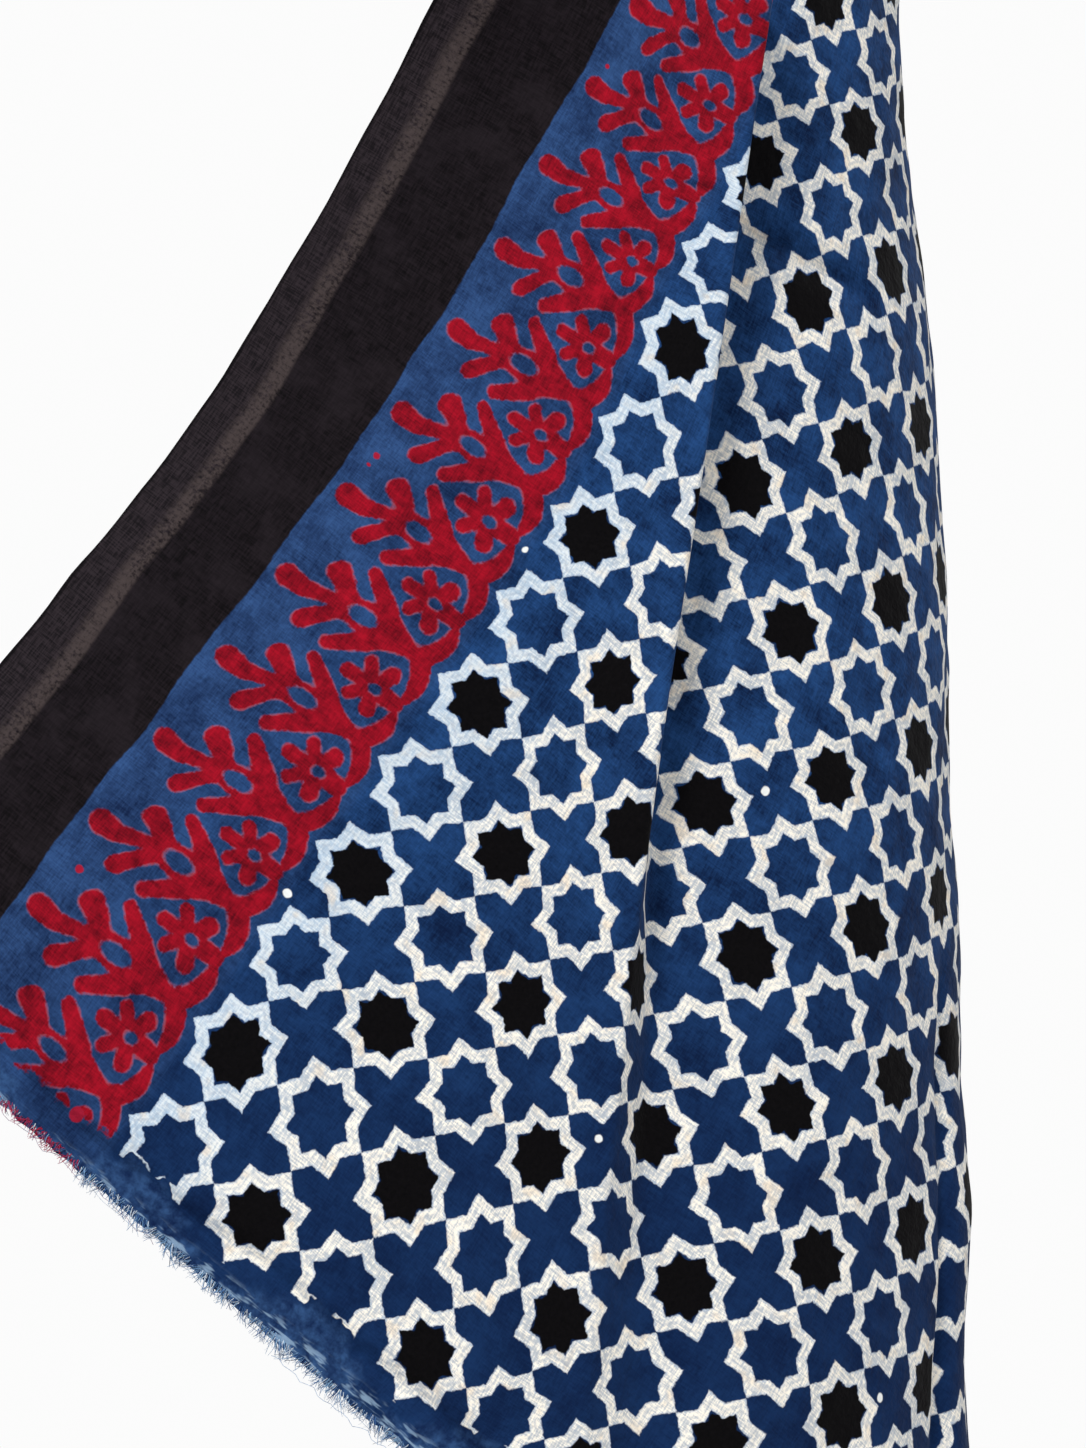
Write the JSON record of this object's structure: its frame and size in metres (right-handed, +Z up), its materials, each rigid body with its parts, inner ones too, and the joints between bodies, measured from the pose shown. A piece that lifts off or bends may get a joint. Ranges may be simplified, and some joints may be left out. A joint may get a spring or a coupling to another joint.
{
  "type": "hanging length of resist-printed cotton cloth",
  "caption": "Length of indigo resist-printed cotton with a star lattice, a border of red sprigs and a dark selvedge band, hanging in folds.",
  "frame": {"origin": "top of the crest of the front fold, on the top edge, where the cloth is held", "axes": "+Z up, -Y towards the viewer of the printed face, +X to that viewer's right"},
  "size_m": [0.4446, 0.2219, 0.8489],
  "materials": {
    "printed_cotton": "matt plain-woven cotton, indigo and black dyed, resist printed in cream and red"
  },
  "bodies": {
    "root": {"cloth": "printed_cotton"}
  },
  "joints": []
}
